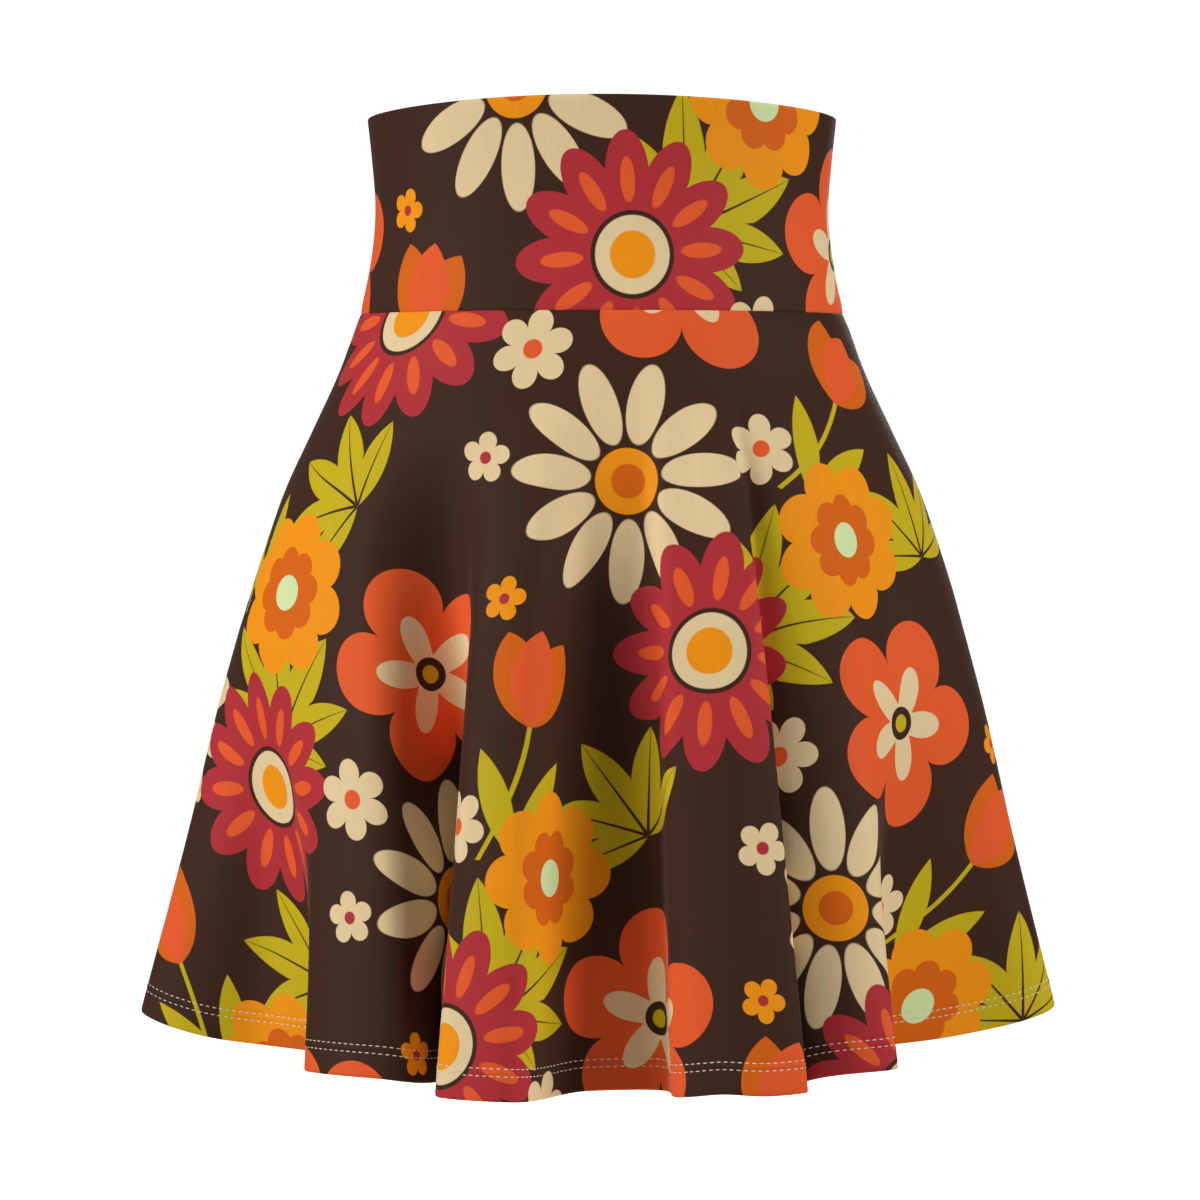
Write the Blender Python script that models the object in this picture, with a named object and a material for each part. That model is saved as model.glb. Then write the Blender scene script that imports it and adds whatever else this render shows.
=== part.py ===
"""Circle skirt with a wide contoured waistband, filled out as worn.

Four cut pieces, each a closed wall of cloth: a front and a back waistband and a
front and a back skirt panel. Metres, +Z up, the front faces -Y. The origin is the
centre of the waist, at the narrowest ring of the waistband, where it is held.
"""

from collections import namedtuple

import bmesh
import bpy
import numpy as np

MM = 0.001

# Driving sizes, in millimetres.
TOP_Z = 46.0            # top edge of the waistband at the sides
TOP_RISE = 5.5          # how much higher that edge lies at the centre front and back
SEAM_Z = -54.0          # seam between waistband and skirt
SKIRT_LENGTH = 382.0    # cut length of the skirt, from the seam to the hem edge
SKIRT_WALL = 1.4        # one layer of knit
HEM_WALL = 2.4          # the same where the hem is turned up
HEM_DEPTH = 20.0        # height of the turned-up hem
HEM_STEP = 2.0          # height over which the wall thickens into it
BAND_WALL = 2.4         # the waistband is cut double
SEAM_GAP = 0.35         # clearance between sewn pieces

# Mesh density.
SKIRT_ROWS = 13
SKIRT_STEPS = 4         # columns from one fold line to the next
BAND_ROWS = 7
BAND_COLUMNS = 40
ELLIPSE_STEPS = 721

Ring = namedtuple("Ring", "at half_width front back")

# The waistband, bottom to top. at = height in mm above the seam.
BAND_RINGS = [
    Ring(0.0, 124.7, 95.0, 95.0),
    Ring(18.0, 120.7, 91.5, 92.5),
    Ring(34.0, 118.0, 88.5, 89.5),
    Ring(54.0, 116.6, 86.8, 87.5),
    Ring(78.0, 118.2, 87.2, 88.4),
    Ring(100.0, 120.5, 89.0, 90.5),
]

# The skirt as it would stand without its folds. at = share of the cut length.
SKIRT_RINGS = [
    Ring(0.00, 124.7, 95.0, 95.0),
    Ring(0.08, 134.9, 101.0, 103.0),
    Ring(0.17, 149.2, 108.5, 114.0),
    Ring(0.26, 163.6, 115.0, 124.0),
    Ring(0.34, 173.8, 119.0, 129.0),
    Ring(0.43, 184.0, 122.0, 132.0),
    Ring(0.56, 197.7, 125.0, 136.0),
    Ring(0.73, 212.8, 129.0, 141.0),
    Ring(1.00, 238.5, 136.0, 150.0),
]

# The folds where they meet the hem, in plan, from the left side across the front
# and back across the rear. A fold has a near and a far shoulder and ends in a
# valley. starts = share of the cut length at which its shoulders leave the smooth
# hip. longer = how much the knit has stretched there beyond its cut length, in mm.
# valley_starts and valley_longer = the same in the valley.
PLACES = "near_x near_y far_x far_y valley_x valley_y"
Fold = namedtuple("Fold", PLACES + " starts valley_starts longer valley_longer")
FOLDS = [
    Fold(-226, 38, -239, -14, -134, -76, 0.40, 0.44, -3.0, 4.0),
    Fold(-146, -112, -102, -143, -64, -80, 0.30, 0.16, 0.5, 0.0),
    Fold(-77, -151, -51, -164, -6, -110, 0.10, 0.08, 4.0, 2.0),
    Fold(29, -113, 38, -150, 58, -159, 0.08, 0.12, 1.5, 0.5),
    Fold(80, -161, 98, -155, 89, -128, 0.10, 0.06, 3.0, 0.0),
    Fold(102, -134, 141, -132, 129, -67, 0.08, 0.50, -3.0, 0.0),
    Fold(235, -12, 223, 38, 172, 64, 0.40, 0.40, -5.5, -5.0),
    Fold(174, 98, 138, 124, 116, 96, 0.34, 0.34, 0.0, 0.0),
    Fold(122, 138, 88, 158, 62, 114, 0.18, 0.18, 1.5, 1.5),
    Fold(70, 163, 30, 175, 9, 120, 0.15, 0.15, -2.0, -2.0),
    Fold(-8, 161, -32, 172, -48, 121, 0.22, 0.22, 2.0, 2.0),
    Fold(-54, 159, -100, 155, -104, 109, 0.16, 0.16, -1.0, -1.0),
    Fold(-136, 128, -172, 100, -178, 64, 0.36, 0.36, 0.0, 0.0),
]
# The side seams run down the far shoulders of the first and the seventh fold.
# Fold lines are counted from the left seam.
LINES_PER_FOLD = 3
LEFT_SEAM = 1
RIGHT_SEAM_LINE = 6 * LINES_PER_FOLD + 1 - LEFT_SEAM
FOLD_EASE = 0.10        # share of a fold's length over which it eases out of the hip
FOLD_SWELL = 0.5        # the lower a fold starts, the sooner it is deep

SKIRT_COLOUR = (0.33, 0.16, 0.055, 1.0)
BAND_COLOUR = (0.30, 0.15, 0.055, 1.0)
CLOTH_ROUGHNESS = 0.62
RIM_ANGLE = np.radians(50)      # edges that bend more than this are shaded sharp


def clear_scene():
    for obj in list(bpy.data.objects):
        bpy.data.objects.remove(obj, do_unlink=True)


def cubic(knots, values, slopes, at):
    """A curve that passes its knots at the given values and slopes."""
    span = np.clip(np.searchsorted(knots, at, side="right") - 1, 0, len(knots) - 2)
    width = (knots[span + 1] - knots[span])[:, None]
    x = (at - knots[span])[:, None] / width
    start, end = values[span], values[span + 1]
    leave, arrive = slopes[span] * width, slopes[span + 1] * width
    crossed = start + (3 * x ** 2 - 2 * x ** 3) * (end - start)
    return crossed + (x - 2 * x ** 2 + x ** 3) * leave + (x ** 3 - x ** 2) * arrive


def inner_slopes(knots, values):
    """Slope at every knot but the two end ones, led by the nearer neighbour."""
    step = np.diff(knots)[:, None]
    slope = np.diff(values, axis=0) / step
    return (slope[:-1] * step[1:] + slope[1:] * step[:-1]) / (step[:-1] + step[1:])


def ring_sizes(rings, at):
    """half_width, front and back of a table of rings at the given places."""
    knots = np.array([ring.at for ring in rings])
    values = np.array([ring[1:] for ring in rings])
    first = (values[1] - values[0]) / (knots[1] - knots[0])
    last = (values[-1] - values[-2]) / (knots[-1] - knots[-2])
    slopes = np.vstack([first, inner_slopes(knots, values), last])
    return cubic(knots, values, slopes, np.asarray(at, float))


def closed_curve(knots, points, at):
    """A smooth closed curve through points; knots has one entry more, where it closes."""
    wide_knots = np.concatenate([[knots[-2] - knots[-1]], knots, [knots[-1] + knots[1]]])
    wide_points = np.vstack([points[-1:], points, points[:2]])
    slopes = inner_slopes(wide_knots, wide_points)
    return cubic(knots, wide_points[1:-1], slopes, at)


def oval(size, turn):
    """Plan points of a ring; turn 0 to 0.5 crosses the front, 0.5 to 1 the back."""
    half_width, front, back = size
    angle = np.pi * (1 + 2 * turn)
    depth = np.where(np.sin(angle) < 0, front, back)
    return np.stack([half_width * np.cos(angle), depth * np.sin(angle)], axis=-1)


def halved(run, middle):
    """A running length as a share: 0 to 0.5 on the front half, 0.5 to 1 on the back."""
    half = run[middle]
    return np.where(run <= half, 0.5 * run / half, 0.5 + 0.5 * (run - half) / (run[-1] - half))


def running_length(points):
    return np.concatenate([[0], np.cumsum(np.linalg.norm(np.diff(points, axis=0), axis=1))])


def even_oval(size, shares):
    """Plan points of a ring at shares of the length of its front and back halves."""
    turn = np.linspace(0, 1, ELLIPSE_STEPS)
    run = running_length(oval(size, turn))
    return oval(size, np.interp(shares, halved(run, ELLIPSE_STEPS // 2), turn))


def hem_lines():
    """The fold lines where they meet the hem, and their shares of the cloth's width."""
    points = np.array([fold[: 2 * LINES_PER_FOLD] for fold in FOLDS], float).reshape(-1, 2)
    points = np.roll(points, -LEFT_SEAM, axis=0)
    run = running_length(np.vstack([points, points[:1]]))
    return points, halved(run, RIGHT_SEAM_LINE)


def line_values(shoulder, valley):
    """Two columns of the folds, on their shoulders and valleys, in the order of the hem lines."""
    columns = (shoulder, shoulder, valley)
    return np.roll([getattr(fold, name) for fold in FOLDS for name in columns], -LEFT_SEAM)


def eased(length):
    """Rises softly from nothing, then straight."""
    return np.sqrt(length ** 2 + FOLD_EASE ** 2) - FOLD_EASE


def skirt_grid(levels, shares):
    """Points of the skirt's outer face, levels down by shares round, in mm.

    Each level is a smooth closed curve through the fold lines. Every thread from
    the seam to the hem keeps its length, which sets how far it drops.
    """
    hem, marks = hem_lines()
    starts = line_values("starts", "valley_starts")
    sizes = ring_sizes(SKIRT_RINGS, levels)
    offset = hem - even_oval(ring_sizes(SKIRT_RINGS, [1.0])[0], marks[:-1])
    grown_length = np.clip((levels[:, None] - starts) / (1 - starts), 0, 1)
    growth = (eased(grown_length) / eased(1)) ** (FOLD_SWELL + starts)
    plan = []
    for size, share in zip(sizes, growth):
        lines = even_oval(size, marks[:-1]) + share[:, None] * offset
        plan.append(closed_curve(marks, lines, shares))
    plan = np.array(plan)
    longer = line_values("longer", "valley_longer")
    length = SKIRT_LENGTH + closed_curve(marks, longer[:, None], shares)[:, 0]
    cut = np.diff(levels)[:, None] * length
    outward = np.linalg.norm(np.diff(plan, axis=0), axis=2)
    fall = np.sqrt(np.maximum(cut ** 2 - outward ** 2, 0))
    height = SEAM_Z - SEAM_GAP / 2 - np.vstack([0 * fall[:1], np.cumsum(fall, axis=0)])
    return np.dstack([plan, height])


def band_grid(levels, shares):
    """Points of the waistband's outer face, from its top edge down, in mm."""
    side_height = TOP_Z - SEAM_Z
    foot = SEAM_Z + SEAM_GAP / 2
    rows = []
    for level, size in zip(levels, ring_sizes(BAND_RINGS, (1 - levels) * side_height)):
        plan = even_oval(size, shares)
        top = TOP_Z + TOP_RISE * (1 - (plan[:, 0] / size[0]) ** 2)
        rows.append(np.column_stack([plan, top + level * (foot - top)]))
    return np.array(rows)


def along(grid, axis):
    """Direction of the cloth at each point of a grid, along its rows or down its columns."""
    chord = np.diff(grid, axis=axis)
    chord /= np.linalg.norm(chord, axis=2, keepdims=True)
    first, last = np.take(chord, [0], axis), np.take(chord, [-1], axis)
    return np.concatenate([first, chord], axis) + np.concatenate([chord, last], axis)


def wall_faces(grid, thickness):
    """Outer and inner points of a panel from a grid that has one column more on each side.

    The extra columns lie on the neighbouring panels, so that the walls of both
    panels lean the same way at their seam. The side edges are drawn in by half
    the seam clearance.
    """
    normal = np.cross(along(grid, 1), along(grid, 0))
    normal /= np.linalg.norm(normal, axis=2, keepdims=True)
    inner = grid + np.asarray(thickness)[:, None, None] * normal
    faces = [grid[:, 1:-1].copy(), inner[:, 1:-1].copy()]
    for face in faces:
        for edge, neighbour in ((0, 1), (-1, -2)):
            inward = face[:, neighbour] - face[:, edge]
            length = np.linalg.norm(inward, axis=1, keepdims=True)
            face[:, edge] += SEAM_GAP / 2 * inward / length
    return faces


def skirt_levels():
    """Rows of the skirt as shares of its cut length, closer together at the turned hem."""
    hem_top = 1 - HEM_DEPTH / SKIRT_LENGTH
    step = HEM_STEP / SKIRT_LENGTH
    return np.concatenate([np.linspace(0, hem_top, SKIRT_ROWS), [hem_top + step, 1.0]])


def skirt_shares(first, last):
    """Columns of a skirt panel and one beyond each side, evenly spaced between fold lines."""
    marks = hem_lines()[1]
    lines = np.arange(first * SKIRT_STEPS - 1, last * SKIRT_STEPS + 2) / SKIRT_STEPS
    count = len(marks) - 1
    return np.interp(lines % count, np.arange(len(marks)), marks)


def band_shares(first, last):
    """Even columns of a waistband panel and one beyond each side."""
    step = (last - first) / BAND_COLUMNS
    return (first + step * np.arange(-1, BAND_COLUMNS + 2)) % 1


def cloth_material(name, colour):
    material = bpy.data.materials.new(name)
    material.use_nodes = True
    shader = material.node_tree.nodes["Principled BSDF"]
    shader.inputs["Base Color"].default_value = colour
    shader.inputs["Roughness"].default_value = CLOTH_ROUGHNESS
    shader.inputs["Metallic"].default_value = 0.0
    return material


def cloth_wall(name, faces, material, collection):
    """One panel as a closed wall between its outer and its inner points."""
    form = bmesh.new()
    outer, inner = [[[form.verts.new(point * MM) for point in row] for row in face] for face in faces]

    def quads(upper, lower):
        for (a, b), (d, c) in zip(zip(upper, upper[1:]), zip(lower, lower[1:])):
            form.faces.new((a, d, c, b))

    for row in range(len(outer) - 1):
        quads(outer[row], outer[row + 1])
        quads(inner[row + 1], inner[row])
    quads(inner[0], outer[0])
    quads(outer[-1], inner[-1])
    for side, (left, right) in ((0, (inner, outer)), (-1, (outer, inner))):
        quads([row[side] for row in left], [row[side] for row in right])
    bmesh.ops.recalc_face_normals(form, faces=form.faces)
    mesh = bpy.data.meshes.new(name)
    form.to_mesh(mesh)
    form.free()
    mesh.shade_smooth()
    mesh.set_sharp_from_angle(angle=RIM_ANGLE)
    mesh.materials.append(material)
    collection.objects.link(bpy.data.objects.new(name, mesh))


def make_waistband(collection):
    material = cloth_material("waistband_print", BAND_COLOUR)
    levels = np.linspace(0, 1, BAND_ROWS)
    for name, first, last in (("waistband_front", 0.0, 0.5), ("waistband_back", 0.5, 1.0)):
        grid = band_grid(levels, band_shares(first, last))
        cloth_wall(name, wall_faces(grid, [BAND_WALL] * BAND_ROWS), material, collection)


def make_skirt(collection):
    material = cloth_material("skirt_print", SKIRT_COLOUR)
    levels = skirt_levels()
    thickness = [SKIRT_WALL] * SKIRT_ROWS + [HEM_WALL] * (len(levels) - SKIRT_ROWS)
    last_line = LINES_PER_FOLD * len(FOLDS)
    for name, first, last in (
        ("skirt_front", 0, RIGHT_SEAM_LINE),
        ("skirt_back", RIGHT_SEAM_LINE, last_line),
    ):
        grid = skirt_grid(levels, skirt_shares(first, last))
        cloth_wall(name, wall_faces(grid, thickness), material, collection)


def main():
    clear_scene()
    collection = bpy.data.collections.new("circle_skirt")
    bpy.context.scene.collection.children.link(collection)
    make_waistband(collection)
    make_skirt(collection)


main()
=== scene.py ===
"""Looks of a circle skirt with a wide contoured waistband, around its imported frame.

The cloth is a printed stretch knit. Each sewn panel is a thin shell on its solid's
form, finer and with the smaller creases, the rounded turned hem and the seams. The
print lies in the plane of the flat cut, so it follows the cloth round every fold.
Lengths are in millimetres until a mesh is made, and in metres from there on.
"""

import math
from collections import namedtuple

import bpy
import numpy as np
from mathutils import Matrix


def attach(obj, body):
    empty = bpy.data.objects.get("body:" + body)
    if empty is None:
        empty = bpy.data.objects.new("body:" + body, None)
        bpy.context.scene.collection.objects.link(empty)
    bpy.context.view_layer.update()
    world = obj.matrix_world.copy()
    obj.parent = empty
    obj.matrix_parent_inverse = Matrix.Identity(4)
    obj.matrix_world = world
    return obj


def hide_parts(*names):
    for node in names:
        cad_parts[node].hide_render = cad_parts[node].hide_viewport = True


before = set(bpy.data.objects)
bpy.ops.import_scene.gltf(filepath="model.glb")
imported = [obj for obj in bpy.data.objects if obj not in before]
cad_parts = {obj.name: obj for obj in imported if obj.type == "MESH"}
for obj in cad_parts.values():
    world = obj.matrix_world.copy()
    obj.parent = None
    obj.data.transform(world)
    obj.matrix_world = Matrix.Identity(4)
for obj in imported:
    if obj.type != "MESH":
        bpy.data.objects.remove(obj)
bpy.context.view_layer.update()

MM = 0.001

# ---------------------------------------------------------------- sizes of the garment

TOP_Z = 46.0            # top edge of the waistband at the sides
TOP_RISE = 5.5          # how much higher that edge lies at the centre front and back
SEAM_Z = -54.0          # seam between waistband and skirt
SKIRT_LENGTH = 382.0    # cut length of the skirt, from the seam to the hem edge
SKIRT_WALL = 1.4        # one layer of knit
HEM_WALL = 2.4          # two layers, where the hem is turned up
HEM_DEPTH = 20.0        # height of the turned-up hem
HEM_STEP = 0.7          # height over which the inner face steps out to the hem
BAND_WALL = 2.4         # the waistband is cut double
BAND_HEIGHT = TOP_Z - SEAM_Z
SEAM_LAP = 0.5          # how far sewn pieces reach into each other inside a seam
CUT_RADIUS = 218.0      # radius of the waist edge in the flat circle cut

Ring = namedtuple("Ring", "at half_width front back")

# The waistband, bottom to top. at = height in mm above the seam.
BAND_RINGS = [
    Ring(0.0, 124.7, 95.0, 95.0),
    Ring(18.0, 120.7, 91.5, 92.5),
    Ring(34.0, 118.0, 88.5, 89.5),
    Ring(54.0, 116.6, 86.8, 87.5),
    Ring(78.0, 118.2, 87.2, 88.4),
    Ring(100.0, 120.5, 89.0, 90.5),
]

# The skirt as it would stand without its folds. at = share of the cut length.
SKIRT_RINGS = [
    Ring(0.00, 124.7, 95.0, 95.0),
    Ring(0.08, 134.9, 101.0, 103.0),
    Ring(0.17, 149.2, 108.5, 114.0),
    Ring(0.26, 163.6, 115.0, 124.0),
    Ring(0.34, 173.8, 119.0, 129.0),
    Ring(0.43, 184.0, 122.0, 132.0),
    Ring(0.56, 197.7, 125.0, 136.0),
    Ring(0.73, 212.8, 129.0, 141.0),
    Ring(1.00, 238.5, 136.0, 150.0),
]

# The folds where they meet the hem, in plan: a near and a far shoulder and a valley.
# starts = share of the cut length at which the shoulders leave the smooth hip.
# longer = how much the knit has stretched there beyond its cut length.
# valley_starts and valley_longer = the same in the valley.
PLACES = "near_x near_y far_x far_y valley_x valley_y"
Fold = namedtuple("Fold", PLACES + " starts valley_starts longer valley_longer")
FOLDS = [
    Fold(-226, 38, -239, -14, -134, -76, 0.40, 0.44, -3.0, 4.0),
    Fold(-146, -112, -102, -143, -64, -80, 0.30, 0.16, 0.5, 0.0),
    Fold(-77, -151, -51, -164, -6, -110, 0.10, 0.08, 4.0, 2.0),
    Fold(29, -113, 38, -150, 58, -159, 0.08, 0.12, 1.5, 0.5),
    Fold(80, -161, 98, -155, 89, -128, 0.10, 0.06, 3.0, 0.0),
    Fold(102, -134, 141, -132, 129, -67, 0.08, 0.50, -3.0, 0.0),
    Fold(235, -12, 223, 38, 172, 64, 0.40, 0.40, -5.5, -5.0),
    Fold(174, 98, 138, 124, 116, 96, 0.34, 0.34, 0.0, 0.0),
    Fold(122, 138, 88, 158, 62, 114, 0.18, 0.18, 1.5, 1.5),
    Fold(70, 163, 30, 175, 9, 120, 0.15, 0.15, -2.0, -2.0),
    Fold(-8, 161, -32, 172, -48, 121, 0.22, 0.22, 2.0, 2.0),
    Fold(-54, 159, -100, 155, -104, 109, 0.16, 0.16, -1.0, -1.0),
    Fold(-136, 128, -172, 100, -178, 64, 0.36, 0.36, 0.0, 0.0),
]
LINES_PER_FOLD = 3      # near shoulder, far shoulder and valley
SEAM_LINE = 1           # the left side seam runs down the first fold's far shoulder
FRONT_FOLDS = 6         # and the right one down the same line so many folds later
FOLD_EASE = 0.10        # share of a fold's length over which it eases out of the hip
FOLD_SWELL = 0.5        # the lower a fold starts, the sooner it is deep
OVAL_STEPS = 1441       # points of an oval from which even shares of its length are read

# Soft creases that the solids leave out. share runs once round the skirt from the left
# seam, level from the waist seam (0) to the hem (1), and a minus depth is a trough.
# A crease fades out at both ends, so one whose foot lies past 1 is still deep at the hem.
Crease = namedtuple("Crease", "share level foot_share foot_level width depth")
SKIRT_CREASES = [
    Crease(0.047, 0.36, 0.030, 1.40, 15.0, -4.4),
    Crease(0.078, 0.34, 0.060, 1.30, 12.0, 1.8),
    Crease(0.090, 0.30, 0.087, 0.90, 11.0, 1.0),
    Crease(0.146, 0.12, 0.150, 0.92, 17.0, -3.6),
    Crease(0.172, 0.10, 0.178, 0.44, 11.0, 0.8),
    Crease(0.249, 0.16, 0.245, 0.98, 14.0, -2.6),
    Crease(0.292, 0.26, 0.292, 1.45, 7.0, -1.6),
    Crease(0.309, 0.26, 0.308, 1.45, 10.0, 2.2),
    Crease(0.346, 0.10, 0.352, 0.50, 13.0, 0.8),
    Crease(0.394, 0.20, 0.391, 0.76, 15.0, -1.0),
    Crease(0.446, 0.40, 0.444, 1.42, 17.0, -2.0),
    Crease(0.481, 0.30, 0.478, 0.95, 12.0, 0.9),
    Crease(0.556, 0.18, 0.550, 0.66, 14.0, -1.3),
    Crease(0.612, 0.12, 0.619, 0.54, 12.0, 0.9),
    Crease(0.668, 0.30, 0.664, 1.30, 16.0, -1.7),
    Crease(0.735, 0.10, 0.742, 0.48, 12.0, -0.8),
    Crease(0.782, 0.24, 0.774, 1.20, 15.0, 1.3),
    Crease(0.835, 0.20, 0.846, 0.70, 13.0, -1.3),
    Crease(0.885, 0.12, 0.880, 0.56, 12.0, 0.9),
    Crease(0.948, 0.42, 0.953, 1.36, 16.0, -1.9),
]
CREASE_FADE = 1.5       # over 1, the ends of a crease fade sooner

# Mesh density.
SKIRT_ROWS = 84
HEM_ROWS = 22
SKIRT_COLUMNS = 390
BAND_ROWS = 46
BAND_COLUMNS = 220
RIM_STEPS = (0.0, 0.07, 0.28, 0.62, 1.15, 1.9, 3.0)     # rows and columns close to an edge
HOOP_STEPS = 721        # places round a level at which its length is measured
EDGE_STEPS = 2001       # places along a panel's edge at which its length is measured

# ---------------------------------------------------------------- sewing

NEEDLE_ROWS = (12.0, 15.6)        # heights of the twin-needle rows above the hem edge
STITCH_PITCH = 3.5
STITCH_SIZE = (2.4, 0.52, 0.42)   # length, width and height
STITCH_PATH_STEPS = 1600          # points of the path that a needle row follows
LOOPER_RADIUS = 0.20              # the thread that zigzags between the rows inside
THREAD_PROUD = 0.12               # how far the middle of a thread stands off the cloth
SEAM_DRAW = 0.45                  # how far a seam draws the cloth in
SEAM_REACH = 3.2                  # and over what distance
SIDE_SEAMS = (0.0, 0.5, 1.0)      # where the side seams are, as shares of the way round
NEEDLE_DRAW = 0.22                # the dent of a needle row
NEEDLE_REACH = 0.9                # and over what distance it fades
TUNNEL_LIFT = 0.20                # the ridge between the two rows
TUNNEL_REACH = 1.6                # the same for the ridge


# ---------------------------------------------------------------- form of the cloth

def cubic(knots, values, slopes, at):
    """A curve that passes its knots at the given values and slopes."""
    span = np.clip(np.searchsorted(knots, at, side="right") - 1, 0, len(knots) - 2)
    width = (knots[span + 1] - knots[span])[:, None]
    x = (at - knots[span])[:, None] / width
    start, end = values[span], values[span + 1]
    leave, arrive = slopes[span] * width, slopes[span + 1] * width
    crossed = start + (3 * x ** 2 - 2 * x ** 3) * (end - start)
    return crossed + (x - 2 * x ** 2 + x ** 3) * leave + (x ** 3 - x ** 2) * arrive


def inner_slopes(knots, values):
    """Slope at every knot but the two end ones, led by the nearer neighbour."""
    step = np.diff(knots)[:, None]
    slope = np.diff(values, axis=0) / step
    return (slope[:-1] * step[1:] + slope[1:] * step[:-1]) / (step[:-1] + step[1:])


def ring_sizes(rings, at):
    """half_width, front and back of a table of rings at the given places."""
    knots = np.array([ring.at for ring in rings])
    values = np.array([ring[1:] for ring in rings])
    first = (values[1] - values[0]) / (knots[1] - knots[0])
    last = (values[-1] - values[-2]) / (knots[-1] - knots[-2])
    slopes = np.vstack([first, inner_slopes(knots, values), last])
    return cubic(knots, values, slopes, np.asarray(at, float))


def closed_curve(knots, points, at):
    """A smooth closed curve through points; knots has one entry more, where it closes."""
    wide_knots = np.concatenate([[knots[-2] - knots[-1]], knots, [knots[-1] + knots[1]]])
    wide_points = np.vstack([points[-1:], points, points[:2]])
    slopes = inner_slopes(wide_knots, wide_points)
    return cubic(knots, wide_points[1:-1], slopes, at)


def oval(size, turn):
    """Plan points of a ring; turn 0 to 0.5 crosses the front, 0.5 to 1 the back."""
    half_width, front, back = size
    angle = np.pi * (1 + 2 * turn)
    depth = np.where(np.sin(angle) < 0, front, back)
    return np.stack([half_width * np.cos(angle), depth * np.sin(angle)], axis=-1)


def halved(run, middle):
    """A running length as a share: 0 to 0.5 on the front half, 0.5 to 1 on the back."""
    half = run[middle]
    return np.where(run <= half, 0.5 * run / half, 0.5 + 0.5 * (run - half) / (run[-1] - half))


def running_length(points):
    return np.concatenate([[0], np.cumsum(np.linalg.norm(np.diff(points, axis=0), axis=1))])


def even_oval(size, shares):
    """Plan points of a ring at shares of the length of its front and back halves."""
    turn = np.linspace(0, 1, OVAL_STEPS)
    run = running_length(oval(size, turn))
    return oval(size, np.interp(shares, halved(run, OVAL_STEPS // 2), turn))


def hem_lines():
    """The fold lines where they meet the hem, and their shares of the cloth's width."""
    points = np.array([fold[: 2 * LINES_PER_FOLD] for fold in FOLDS], float).reshape(-1, 2)
    points = np.roll(points, -SEAM_LINE, axis=0)
    run = running_length(np.vstack([points, points[:1]]))
    return points, halved(run, FRONT_FOLDS * LINES_PER_FOLD)


def line_values(shoulder, valley):
    """Two columns of the table of folds, in the order of the hem lines."""
    columns = (shoulder, shoulder, valley)
    return np.roll([getattr(fold, name) for fold in FOLDS for name in columns], -SEAM_LINE)


def eased(length):
    """Rises softly from nothing, then straight."""
    return np.sqrt(length ** 2 + FOLD_EASE ** 2) - FOLD_EASE


def skirt_form(levels, shares):
    """Points of the skirt's outer face without its creases, levels down by shares round."""
    shares = shares % 1
    hem, marks = hem_lines()
    starts = line_values("starts", "valley_starts")
    sizes = ring_sizes(SKIRT_RINGS, levels)
    offset = hem - even_oval(ring_sizes(SKIRT_RINGS, [1.0])[0], marks[:-1])
    grown_length = np.clip((levels[:, None] - starts) / (1 - starts), 0, 1)
    growth = (eased(grown_length) / eased(1)) ** (FOLD_SWELL + starts)
    plan = []
    for size, share in zip(sizes, growth):
        lines = even_oval(size, marks[:-1]) + share[:, None] * offset
        plan.append(closed_curve(marks, lines, shares))
    plan = np.array(plan)
    longer = line_values("longer", "valley_longer")
    length = SKIRT_LENGTH + closed_curve(marks, longer[:, None], shares)[:, 0]
    cut = np.diff(levels)[:, None] * length
    flare = np.linalg.norm(np.diff(plan, axis=0), axis=2)
    fall = np.sqrt(np.maximum(cut ** 2 - flare ** 2, 0))
    height = SEAM_Z + SEAM_LAP / 2 - np.vstack([0 * fall[:1], np.cumsum(fall, axis=0)])
    return np.dstack([plan, height])


def band_form(levels, shares):
    """Points of the waistband's outer face, from its top edge down."""
    shares = shares % 1
    foot = SEAM_Z - SEAM_LAP / 2
    rows = []
    for level, size in zip(levels, ring_sizes(BAND_RINGS, (1 - levels) * BAND_HEIGHT)):
        plan = even_oval(size, shares)
        top = TOP_Z + TOP_RISE * (1 - (plan[:, 0] / size[0]) ** 2)
        rows.append(np.column_stack([plan, top + level * (foot - top)]))
    return np.array(rows)


def directions(grid, axis):
    """Direction of the cloth at each point of a grid, along its rows or down its columns."""
    chord = np.diff(grid, axis=axis)
    chord /= np.maximum(np.linalg.norm(chord, axis=2, keepdims=True), 1e-9)
    first, last = np.take(chord, [0], axis), np.take(chord, [-1], axis)
    return np.concatenate([first, chord], axis) + np.concatenate([chord, last], axis)


def outward(grid):
    """Unit normals of a grid of cloth, pointing out of the garment."""
    normal = np.cross(directions(grid, 0), directions(grid, 1))
    return normal / np.linalg.norm(normal, axis=2, keepdims=True)


def bell(distance, width):
    return np.exp(-(distance / width) ** 2)


def crease_relief(levels, shares, hoops):
    """Height of the soft creases over the plain form; hoops = length round at each level."""
    relief = np.zeros((len(levels), len(shares)))
    for crease in SKIRT_CREASES:
        down = (levels - crease.level) / (crease.foot_level - crease.level)
        middle = crease.share + (crease.foot_share - crease.share) * down
        away = (shares[None, :] - middle[:, None] + 0.5) % 1 - 0.5
        fade = np.sin(np.pi * np.clip(down, 0, 1)) ** CREASE_FADE
        relief += crease.depth * fade[:, None] * bell(away * hoops[:, None], crease.width)
    return relief


def row_run(grid):
    """Distance of each point from its row's first point, along the row."""
    step = np.linalg.norm(np.diff(grid, axis=1), axis=2)
    return np.concatenate([np.zeros((len(grid), 1)), np.cumsum(step, axis=1)], axis=1)


def hoop_lengths(form, levels):
    """Length round the garment at each level of one of its forms."""
    return row_run(form(levels, np.linspace(0, 1, HOOP_STEPS)))[:, -1]


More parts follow.
